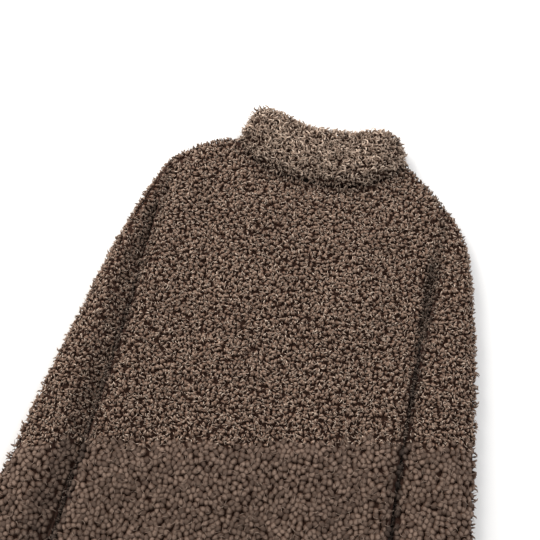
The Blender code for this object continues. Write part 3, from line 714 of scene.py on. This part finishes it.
# Locks: length, radius, first and last climb, coil in degrees, sides and steps.
# Pebbles: width, height, stretch, lumps and their phase.
tufts = {
    "low": tuftCollection("lowCurls", (
        makeLock("lowA", 0.0088, 0.0023, (72, -40), 70, 4, 3),
        makeLock("lowB", 0.0092, 0.0021, (76, -35), -90, 4, 3),
        makeLock("lowC", 0.0084, 0.0024, (70, -45), 20, 4, 3))),
    "top": tuftCollection("topCurls", (
        makeLock("topA", 0.0104, 0.00110, (80, -40), 200, 3, 4),
        makeLock("topB", 0.0100, 0.00105, (78, -35), -220, 3, 4),
        makeLock("topC", 0.0112, 0.00070, (84, -10), 250, 3, 4),
        makeLock("topD", 0.0096, 0.00125, (80, -40), -110, 3, 4),
        makeLock("topE", 0.0106, 0.00075, (80, -30), 80, 3, 4))),
    "pebbles": tuftCollection("pebbles", (
        makePebble("pebbleA", 0.0092, 0.0052, 1.12, 0.13, 0.4),
        makePebble("pebbleB", 0.0086, 0.0049, 1.30, 0.15, 1.7),
        makePebble("pebbleC", 0.0096, 0.0053, 1.14, 0.16, 3.1),
        makePebble("pebbleD", 0.0080, 0.0050, 1.45, 0.14, 4.4),
        makePebble("pebbleE", 0.0088, 0.0048, 1.22, 0.16, 5.6))),
    "grain": tuftCollection("grain", (
        makeLock("grainA", 0.0165, 0.00060, (88, -50), 90, 3, 4),
        makeLock("grainB", 0.0160, 0.00055, (88, -40), -110, 3, 4),
        makeLock("grainC", 0.0170, 0.00065, (88, -45), 150, 3, 4))),
    "fringe": tuftCollection("fringe", (
        makeLock("fringeA", 0.0098, 0.0017, (80, 10), 90, 3, 3),
        makeLock("fringeB", 0.0092, 0.0016, (84, 0), -110, 3, 3))),
    "pressed": tuftCollection("pressedPebbles", (
        makePebble("pressedA", 0.0124, 0.0062, 1.15, 0.10, 0.9, "pressed", 6),
        makePebble("pressedB", 0.0116, 0.0060, 1.30, 0.12, 2.2, "pressed", 6))),
    "collarLow": tuftCollection("collarLow", (
        makeLock("deepA", 0.0105, 0.0020, (80, -20), 110, 3, 3),
        makeLock("deepB", 0.0110, 0.0019, (84, -10), -120, 3, 3))),
    "collar": tuftCollection("collarLocks", (
        makeLock("ringA", 0.0160, 0.0013, (86, -35), 230, 3, 5),
        makeLock("ringB", 0.0150, 0.0012, (84, -30), -250, 3, 5),
        makeLock("ringC", 0.0140, 0.0014, (86, -10), 110, 3, 5),
        makeLock("ringD", 0.0150, 0.0012, (82, -35), -150, 3, 5))),
    "wisps": tuftCollection("wisps", (
        makeLock("wispA", 0.0160, 0.00045, (85, 30), 100, 3, 4),
        makeLock("wispB", 0.0145, 0.00040, (80, 10), -150, 3, 4),
        makeLock("wispC", 0.0175, 0.00042, (86, 50), 60, 3, 4))),
}


# Makes a tree's instances real and gives them their material.
def endTree(tree, instances, finish, result):
    real = plug(tree, addNode(tree, "GeometryNodeRealizeInstances"), Geometry=instances)
    finished = addNode(tree, "GeometryNodeSetMaterial")
    plug(tree, finished, Geometry=take(real, "Geometry"), Material=finish)
    tree.links.new(take(finished, "Geometry"), result.inputs[0])


# The swirls: where their outer part begins and is full, how much smaller the tufts are there and how
# much darker they are painted there as shade between the swirls, how much smaller in a valley, and how far
# locks and whole swirls differ in tone.
swirlLook = {"outer": (0.15, 0.75), "fullSize": 1.06, "outerSize": -0.25, "valleySize": -0.15,
             "tone": 0.28, "outerShade": -0.4, "lockTone": 0.6, "swirlTone": 0.15}
# Where Nap Side is 0, so is the way past the nap line, and "beyond" lets the pile grow everywhere.
scatterRules = {"raggedScale": 55.0, "beyond": -1e-6, "mostDense": 400000.0, "picks": 999}
pileSeeds = {"stray": 11, "rock": 12, "size": 13, "pick": 14, "tone": 15}


# Geometry Nodes: tufts set on a cloth surface, in small swirls that lie one over another.
def buildPileTree():
    tree = bpy.data.node_groups.new("pileOnCloth", "GeometryNodeTree")
    face = tree.interface
    face.new_socket("Geometry", in_out="INPUT", socket_type="NodeSocketGeometry")
    sockets = (
        ("Tufts", "NodeSocketCollection"), ("Mask Name", "NodeSocketString"), ("Spacing", "NodeSocketFloat"),
        ("Seed", "NodeSocketInt"), ("Smallest", "NodeSocketFloat"), ("Largest", "NodeSocketFloat"),
        ("Clump Size", "NodeSocketFloat"), ("Clumping", "NodeSocketFloat"), ("Disorder", "NodeSocketFloat"),
        ("Tilt", "NodeSocketFloat"), ("Comb", "NodeSocketVector"), ("Nap Side", "NodeSocketFloat"),
        ("Nap Height", "NodeSocketFloat"), ("Nap Slope", "NodeSocketFloat"),
        ("Nap Ragged", "NodeSocketFloat"), ("Finish", "NodeSocketMaterial"))
    for label, kind in sockets:
        face.new_socket(label, in_out="INPUT", socket_type=kind)
    face.new_socket("Geometry", in_out="OUTPUT", socket_type="NodeSocketGeometry")
    given, result = addNode(tree, "NodeGroupInput"), addNode(tree, "NodeGroupOutput")
    value = given.outputs

    place = addNode(tree, "GeometryNodeInputPosition").outputs[0]
    parts = addNode(tree, "ShaderNodeSeparateXYZ")
    feed(tree, parts.inputs[0], place)
    torn = noise(tree, place, Scale=scatterRules["raggedScale"], Detail=1.0)
    level = maths(tree, "MULTIPLY_ADD", parts.outputs["X"], value["Nap Slope"], value["Nap Height"])
    torn = maths(tree, "SUBTRACT", take(torn, "Fac"), 0.5)
    level = maths(tree, "MULTIPLY_ADD", torn, value["Nap Ragged"], level)
    beyond = maths(tree, "MULTIPLY", maths(tree, "SUBTRACT", parts.outputs["Y"], level), value["Nap Side"])
    chosen = maths(tree, "GREATER_THAN", beyond, scatterRules["beyond"])

    mask = addNode(tree, "GeometryNodeInputNamedAttribute", data_type="FLOAT")
    feed(tree, mask.inputs["Name"], value["Mask Name"])
    scatter = addNode(tree, "GeometryNodeDistributePointsOnFaces", distribute_method="POISSON")
    plug(tree, scatter, Mesh=value["Geometry"], Selection=chosen, Distance_Min=value["Spacing"],
         Density_Max=scatterRules["mostDense"], Density_Factor=take(mask, "Attribute"), Seed=value["Seed"])

    fineness = maths(tree, "DIVIDE", 1.0, value["Clump Size"])
    eddies = noise(tree, place, Scale=fineness, Detail=0.0)
    clumps = plug(tree, addNode(tree, "ShaderNodeTexVoronoi"), Vector=place, Scale=fineness)
    inward = scaled(tree, vectorMaths(tree, "SUBTRACT", take(clumps, "Position"), place),
                    maths(tree, "MULTIPLY", fineness, value["Clumping"]))
    swirl = vectorMaths(tree, "SUBTRACT", take(eddies, "Color"), (0.5, 0.5, 0.5))
    swirl = vectorMaths(tree, "ADD", swirl, inward)
    outside = ramp(tree, take(clumps, "Distance"), *swirlLook["outer"])
    stray = chance(tree, "FLOAT_VECTOR", (-0.5, -0.5, -0.5), (0.5, 0.5, 0.5), pileSeeds["stray"])
    stray = scaled(tree, stray, value["Disorder"])
    heading = vectorMaths(tree, "ADD", vectorMaths(tree, "ADD", swirl, stray), value["Comb"])
    upright = addNode(tree, "FunctionNodeAlignRotationToVector", axis="Z")
    plug(tree, upright, Vector=take(scatter, "Normal"))
    turned = addNode(tree, "FunctionNodeAlignRotationToVector", axis="X", pivot_axis="Z")
    plug(tree, turned, Rotation=take(upright, "Rotation"), Vector=heading)
    rock = chance(tree, "FLOAT_VECTOR", (-0.5, -0.5, 0.0), (0.5, 0.5, 0.0), pileSeeds["rock"])
    bend = addNode(tree, "FunctionNodeEulerToRotation")
    feed(tree, bend.inputs["Euler"], scaled(tree, rock, value["Tilt"]))
    pose = addNode(tree, "FunctionNodeRotateRotation", rotation_space="LOCAL")
    plug(tree, pose, Rotation=take(turned, "Rotation"), Rotate_By=bend.outputs[0])

    size = chance(tree, "FLOAT", value["Smallest"], value["Largest"], pileSeeds["size"])
    deep = addNode(tree, "GeometryNodeInputNamedAttribute", data_type="FLOAT")
    feed(tree, deep.inputs["Name"], "deep")
    outer = maths(tree, "MULTIPLY", outside, value["Clumping"])
    smaller = maths(tree, "MULTIPLY", outer, swirlLook["outerSize"])
    smaller = maths(tree, "MULTIPLY_ADD", take(deep, "Attribute"), swirlLook["valleySize"], smaller)
    grown = maths(tree, "MULTIPLY", size, maths(tree, "ADD", smaller, swirlLook["fullSize"]))
    pick = chance(tree, "INT", 0, scatterRules["picks"], pileSeeds["pick"])
    kinds = addNode(tree, "GeometryNodeCollectionInfo")
    plug(tree, kinds, Collection=value["Tufts"], Separate_Children=True, Reset_Children=True)
    spread = addNode(tree, "GeometryNodeInstanceOnPoints")
    plug(tree, spread, Points=take(scatter, "Points"), Instance=take(kinds, "Instances"), Pick_Instance=True,
         Instance_Index=pick, Rotation=take(pose, "Rotation"), Scale=grown)
    tone = chance(tree, "FLOAT", 0.0, 1.0, pileSeeds["tone"])
    clumpTone = addNode(tree, "ShaderNodeSeparateXYZ")
    feed(tree, clumpTone.inputs[0], take(clumps, "Color"))
    # Painted shade: tufts in a swirl's outer part get a darker tone.
    shade = maths(tree, "MULTIPLY", outer, swirlLook["outerShade"])
    shade = maths(tree, "MULTIPLY_ADD", tone, swirlLook["lockTone"], shade)
    shade = maths(tree, "ADD", shade, swirlLook["tone"])
    shade = maths(tree, "MULTIPLY_ADD", clumpTone.outputs["X"], swirlLook["swirlTone"], shade)
    toned = addNode(tree, "GeometryNodeStoreNamedAttribute", data_type="FLOAT", domain="INSTANCE")
    plug(tree, toned, Geometry=take(spread, "Instances"), Name="tone", Value=shade)
    endTree(tree, take(toned, "Geometry"), value["Finish"], result)
    return tree


pileTree = buildPileTree()


def setInputs(modifier, values):
    labels = {item.name: item.identifier for item in modifier.node_group.interface.items_tree
              if item.item_type == "SOCKET" and item.in_out == "INPUT"}
    for label, value in values.items():
        modifier[labels[label]] = value


usualPile = {"Comb": (0.0, 0.0, 0.0), "Nap Side": 0.0, "Disorder": 0.5, "Tilt": 0.6, "Clump Size": 0.012,
             "Clumping": 1.0, "Nap Height": napLine["height"], "Nap Slope": napLine["slope"],
             "Nap Ragged": napLine["ragged"]}
restHeight = 0.0004  # how far above the floor the wool that is lain on ends


# Grows one pile on a ground and presses it flat where it is lain on.
def growPile(name, ground, **values):
    grower = ground.modifiers.new("pile", "NODES")
    grower.node_group = pileTree
    settings = dict(usualPile)
    settings.update({label.replace("_", " "): value for label, value in values.items()})
    setInputs(grower, settings)
    ground.update_tag()
    bpy.context.view_layer.update()
    mesh = plainMesh(ground, name)
    ground.modifiers.remove(grower)
    co = points(mesh)
    co[:, 2] = np.maximum(co[:, 2], restHeight)
    setPoints(mesh, co)
    pile = linkTo(bpy.data.objects.new(name, mesh))
    pile.data.materials.clear()
    pile.data.materials.append(settings["Finish"])
    print(name, len(mesh.polygons), "faces")
    return pile


# The piles. Spacing and Clump_Size are in metres, Smallest and Largest multiples of the tuft's size.
pileKinds = {
    "low": {
        "Tufts": tufts["low"], "Finish": finishes["lowCurls"], "Mask_Name": "above", "Nap_Side": 1.0,
        "Spacing": 0.0046, "Smallest": 0.9, "Largest": 1.2, "Seed": 2, "Disorder": 1.2, "Clumping": 0.15},
    "top": {
        "Tufts": tufts["top"], "Finish": finishes["curls"], "Mask_Name": "above", "Nap_Side": 1.0,
        "Spacing": 0.0037, "Smallest": 0.8, "Largest": 1.2, "Seed": 3, "Disorder": 1.0, "Clumping": 0.15,
        "Tilt": 0.8},
    "pebbles": {
        "Tufts": tufts["pebbles"], "Finish": finishes["pebbles"], "Mask_Name": "top", "Nap_Side": -1.0,
        "Spacing": 0.0063, "Smallest": 0.94, "Largest": 1.12, "Seed": 5, "Disorder": 0.9, "Clumping": 0.1,
        "Tilt": 0.25, "Clump_Size": 0.02, "Comb": (-0.15, 0.6, 0.0)},
    "grain": {
        "Tufts": tufts["grain"], "Finish": finishes["fuzz"], "Mask_Name": "top", "Nap_Side": -1.0,
        "Spacing": 0.0080, "Smallest": 0.8, "Largest": 1.0, "Seed": 7, "Disorder": 1.2, "Clumping": 0.1},
    "fringe": {
        "Tufts": tufts["fringe"], "Finish": finishes["fuzz"], "Mask_Name": "side",
        "Spacing": 0.0033, "Smallest": 0.6, "Largest": 1.4, "Seed": 10, "Disorder": 1.2, "Clumping": 0.4},
    "pressed": {
        "Tufts": tufts["pressed"], "Finish": finishes["pebbles"], "Mask_Name": "below",
        "Spacing": 0.0086, "Smallest": 1.0, "Largest": 1.3, "Seed": 8, "Disorder": 1.0, "Tilt": 0.35},
    "collarLow": {
        "Tufts": tufts["collarLow"], "Finish": finishes["collar"], "Mask_Name": "above",
        "Spacing": 0.0044, "Smallest": 0.85, "Largest": 1.2, "Seed": 9, "Disorder": 0.8, "Clumping": 0.6},
    "collar": {
        "Tufts": tufts["collar"], "Finish": finishes["collar"], "Mask_Name": "above",
        "Spacing": 0.0036, "Smallest": 0.65, "Largest": 1.3, "Seed": 4, "Clumping": 0.35,
        "Clump_Size": 0.014},
    "wisps": {
        "Tufts": tufts["wisps"], "Finish": finishes["wisps"], "Mask_Name": "above",
        "Spacing": 0.0032, "Smallest": 0.7, "Largest": 1.1, "Seed": 6, "Disorder": 1.2, "Clumping": 0.5,
        "Tilt": 1.0},
}
pileKinds["rim"] = {**pileKinds["fringe"], "Finish": finishes["collar"], "Seed": 16}
pileOn = {
    "back": ("low", "top", "pebbles", "grain", "fringe"),
    "front_left": ("fringe", "pressed"),
    "front_right": ("fringe", "pressed"),
    "sleeve_left": ("low", "top", "pebbles", "grain", "fringe", "pressed"),
    "sleeve_right": ("low", "top", "pebbles", "grain", "fringe", "pressed"),
    "collar": ("collarLow", "collar", "rim", "wisps", "pressed"),
}


def makeCloth():
    walls = {}
    for name in clothPieces:
        data = nodes[name].data
        corners = [v.co for v in data.vertices]
        walls[name] = BVHTree.FromPolygons(corners, [tuple(p.vertices) for p in data.polygons])
    for name, settings in clothPieces.items():
        ground = makeGround(name, settings, walls)
        piles = [growPile(name + "_" + kind, ground, **pileKinds[kind]) for kind in pileOn[name]]
        backing = ground.modifiers.new("thickness", "SOLIDIFY")
        backing.thickness = groundThickness
        backing.offset = -1.0
        for piece in [ground] + piles:
            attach(piece, "jacket")
        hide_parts(name)


makeCloth()
print("cloth and pile")


# Zip: woven tapes, two rows of teeth that meet in the middle, and worn dark metal.
# "reach" is from the middle to a tooth's root, "foot" the bare tape below the first tooth, and
# "ends" what is bare at both ends together.
zipSizes = {"pitch": 0.0026, "tapeThickness": 0.0008, "toothHeight": 0.0020, "neck": 0.00042,
            "reach": 0.0030, "halfGap": 0.00015, "foot": 0.0016, "ends": 0.0045, "flat": (0.015, 0.736)}
wearLook = {"edge": (0.99, 0.86), "rubbed": (0.56, 0.74), "scuffedEdge": (0.32, 0.58), "rubbedShare": 0.35,
            "roughness": (0.26, 0.3), "edgeWidth": 0.0004, "scuffScale": 900.0}


# Dark plating, thin along the edges and scuffed elsewhere.
def buildWear():
    tree, given, result = newGroup(
        "wornPlating",
        (("Plating", "colour", (0.03, 0.026, 0.022, 1)), ("Bare", "colour", (0.3, 0.27, 0.22, 1)),
         ("Edge", "number", wearLook["edgeWidth"]), ("Scuffs", "number", wearLook["scuffScale"])),
        (("Colour", "colour"), ("Roughness", "number")))
    rounded = addNode(tree, "ShaderNodeBevel", samples=4)
    tree.links.new(given.outputs["Edge"], rounded.inputs["Radius"])
    facet = addNode(tree, "ShaderNodeNewGeometry").outputs["Normal"]
    match = addNode(tree, "ShaderNodeVectorMath", operation="DOT_PRODUCT")
    feed(tree, match.inputs[0], rounded.outputs[0])
    feed(tree, match.inputs[1], facet)
    edge = ramp(tree, match.outputs["Value"], *wearLook["edge"])
    place = addNode(tree, "ShaderNodeTexCoord").outputs["Object"]
    scuffs = take(noise(tree, place, Scale=given.outputs["Scuffs"], Detail=5.0, Roughness=0.65), "Fac")
    rubbed = ramp(tree, scuffs, *wearLook["rubbed"])
    wearAndShade = maths(tree, "MULTIPLY", edge, ramp(tree, scuffs, *wearLook["scuffedEdge"]))
    share = maths(tree, "MULTIPLY_ADD", rubbed, wearLook["rubbedShare"], wearAndShade, clamp=True)
    colour = mixColour(tree, share, given.outputs["Plating"], given.outputs["Bare"])
    tree.links.new(colour, result.inputs["Colour"])
    smooth, rougher = wearLook["roughness"]
    rough = maths(tree, "MULTIPLY_ADD", scuffs, rougher, smooth)
    tree.links.new(rough, result.inputs["Roughness"])
    return tree


wornPlating = buildWear()


def metalMaterial(name, plating, bare):
    material, tree, shader = newMaterial(name, roughness=0.4, metallic=0.9)
    wear = addNode(tree, "ShaderNodeGroup", node_tree=wornPlating)
    plug(tree, wear, Plating=(*plating, 1), Bare=(*bare, 1), Edge=wearLook["edgeWidth"],
         Scuffs=wearLook["scuffScale"])
    tree.links.new(wear.outputs["Colour"], shader.inputs["Base Color"])
    tree.links.new(wear.outputs["Roughness"], shader.inputs["Roughness"])
    return material


zipFinishes = {
    "metal": metalMaterial("darkMetal", plating=(0.060, 0.050, 0.044), bare=(0.34, 0.30, 0.26)),
    "tape": wovenMaterial("brownTape", rib=5200.0, cross=7800.0, low=(0.022, 0.015, 0.011),
                          high=(0.088, 0.064, 0.050), depth=0.0002),
}

# Half of a tooth's outline: millimetres along it, and across it in multiples of the neck. Then
# its levels as shares of the height, with how broad and how long it is there.
toothForm = {"half": ((0.0, 1.35), (1.5, 1.0), (2.4, 1.0), (2.75, 1.38), (3.3, 1.2)), "tip": (3.5, 0.0),
             "levels": ((0.0, 0.82, 0.985), (0.22, 1.0, 1.0), (1.0, 1.0, 1.0))}


# One tooth, pointing along +X from the tape's edge: a narrow neck and a wider head.
def makeTooth():
    half, levels = toothForm["half"], toothForm["levels"]
    outline = [(x, -y) for x, y in half] + [toothForm["tip"]] + list(reversed(half))
    count = len(outline)
    verts = []
    for level, breadth, length in levels:
        for x, y in outline:
            along, across = x * 0.001 * length, y * zipSizes["neck"] * breadth
            verts.append((along, across, level * zipSizes["toothHeight"]))
    faces = ringFaces(len(levels), count)
    faces.append(tuple(reversed(range(count))))
    faces.append(tuple(range(len(verts) - count, len(verts))))
    mesh = bpy.data.meshes.new("tooth")
    mesh.from_pydata(verts, [], faces)
    return bpy.data.objects.new("tooth", mesh)


# Geometry Nodes: a straight row of one shape at an even pitch.
def buildRowTree():
    tree = bpy.data.node_groups.new("evenRow", "GeometryNodeTree")
    face = tree.interface
    sockets = (
        ("Geometry", "NodeSocketGeometry"), ("Shape", "NodeSocketObject"), ("Count", "NodeSocketInt"),
        ("Start", "NodeSocketVector"), ("Pitch", "NodeSocketFloat"), ("Turn", "NodeSocketFloat"),
        ("Finish", "NodeSocketMaterial"))
    for label, kind in sockets:
        face.new_socket(label, in_out="INPUT", socket_type=kind)
    face.new_socket("Geometry", in_out="OUTPUT", socket_type="NodeSocketGeometry")
    given, result = addNode(tree, "NodeGroupInput"), addNode(tree, "NodeGroupOutput")
    value = given.outputs
    step = addNode(tree, "ShaderNodeCombineXYZ")
    feed(tree, step.inputs["Y"], value["Pitch"])
    line = addNode(tree, "GeometryNodeMeshLine")
    plug(tree, line, Count=value["Count"], Start_Location=value["Start"], Offset=step.outputs[0])
    turn = addNode(tree, "ShaderNodeCombineXYZ")
    feed(tree, turn.inputs["Z"], value["Turn"])
    shape = plug(tree, addNode(tree, "GeometryNodeObjectInfo"), Object=value["Shape"])
    row = addNode(tree, "GeometryNodeInstanceOnPoints")
    plug(tree, row, Points=take(line, "Mesh"), Instance=take(shape, "Geometry"), Rotation=turn.outputs[0])
    endTree(tree, take(row, "Instances"), value["Finish"], result)
    return tree


def growRow(name, **values):
    holder = linkTo(bpy.data.objects.new(name + "_holder", bpy.data.meshes.new(name + "_holder")))
    grower = holder.modifiers.new("row", "NODES")
    grower.node_group = rowTree
    setInputs(grower, values)
    bpy.context.view_layer.update()
    mesh = plainMesh(holder, name)
    bpy.data.objects.remove(holder)
    row = linkTo(bpy.data.objects.new(name, mesh))
    row.data.materials.clear()
    row.data.materials.append(values["Finish"])
    return row


# The tape: shares of its width, its short lengths, its waves along and across, how far its middle
# lies below the CAD tape's top, and how much lower the inner edge is.
tapeForm = {"across": (0.0, 0.08, 0.2, 0.5, 0.8, 0.94, 1.0), "lengths": 184, "wave": 0.00012,
            "wavesAlong": 210, "wavesAcross": 3, "below": 0.00045, "innerDrop": 0.00022, "innerShare": 0.1}


# A tape as a thin, slightly waved strip with its inner edge a little lower.
def makeTape(name, side, low, high):
    across, lengths = tapeForm["across"], tapeForm["lengths"]
    inner, outer = (high[0], low[0]) if side < 0 else (low[0], high[0])
    verts, faces = [], []
    for k in range(lengths + 1):
        y = low[1] + (high[1] - low[1]) * k / lengths
        for share in across:
            phase = y * tapeForm["wavesAlong"] + share * tapeForm["wavesAcross"]
            wave = tapeForm["wave"] * math.sin(phase) * share
            drop = tapeForm["innerDrop"] if share < tapeForm["innerShare"] else 0.0
            x = inner + (outer - inner) * share
            verts.append((x, y, high[2] - tapeForm["below"] + wave - drop))
    width = len(across)
    for k in range(lengths):
        for j in range(width - 1):
            a, b = k * width + j, (k + 1) * width + j
            faces.append((a, b, b + 1, a + 1) if side < 0 else (a, a + 1, b + 1, b))
    mesh = bpy.data.meshes.new(name + "_weave")
    mesh.from_pydata(verts, [], faces)
    mesh.materials.append(zipFinishes["tape"])
    for polygon in mesh.polygons:
        polygon.use_smooth = True
    tape = linkTo(bpy.data.objects.new(name + "_weave", mesh))
    thickness = tape.modifiers.new("thickness", "SOLIDIFY")
    thickness.thickness = zipSizes["tapeThickness"]
    thickness.offset = 0.0
    return tape


def makeZip():
    tooth = makeTooth()
    for name, side in (("zip_tape_left", -1), ("zip_tape_right", 1)):
        corners = np.array([v.co for v in nodes[name].data.vertices])
        low, high = corners.min(axis=0), corners.max(axis=0)
        middle = high[0] + zipSizes["halfGap"] if side < 0 else low[0] - zipSizes["halfGap"]
        tape = makeTape(name, side, low, high)
        shift = 0.5 * zipSizes["pitch"] if side > 0 else 0.0  # the right teeth mesh between the left ones
        start = (middle + side * zipSizes["reach"], low[1] + zipSizes["foot"] + shift, low[2])
        count = int((high[1] - low[1] - zipSizes["ends"]) / zipSizes["pitch"])
        teeth = growRow(name + "_teeth", Shape=tooth, Count=count, Start=start, Pitch=zipSizes["pitch"],
                        Turn=0.0 if side < 0 else math.pi, Finish=zipFinishes["metal"])
        print(name, count, "teeth")
        for piece in (tape, teeth):
            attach(piece, "jacket")
        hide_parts(name)
    for name in ("zip_slider", "zip_pull"):
        holder = nodes[name].material_slots[0]
        holder.link = "OBJECT"
        holder.material = zipFinishes["metal"]


rowTree = buildRowTree()
makeZip()
print("zip")
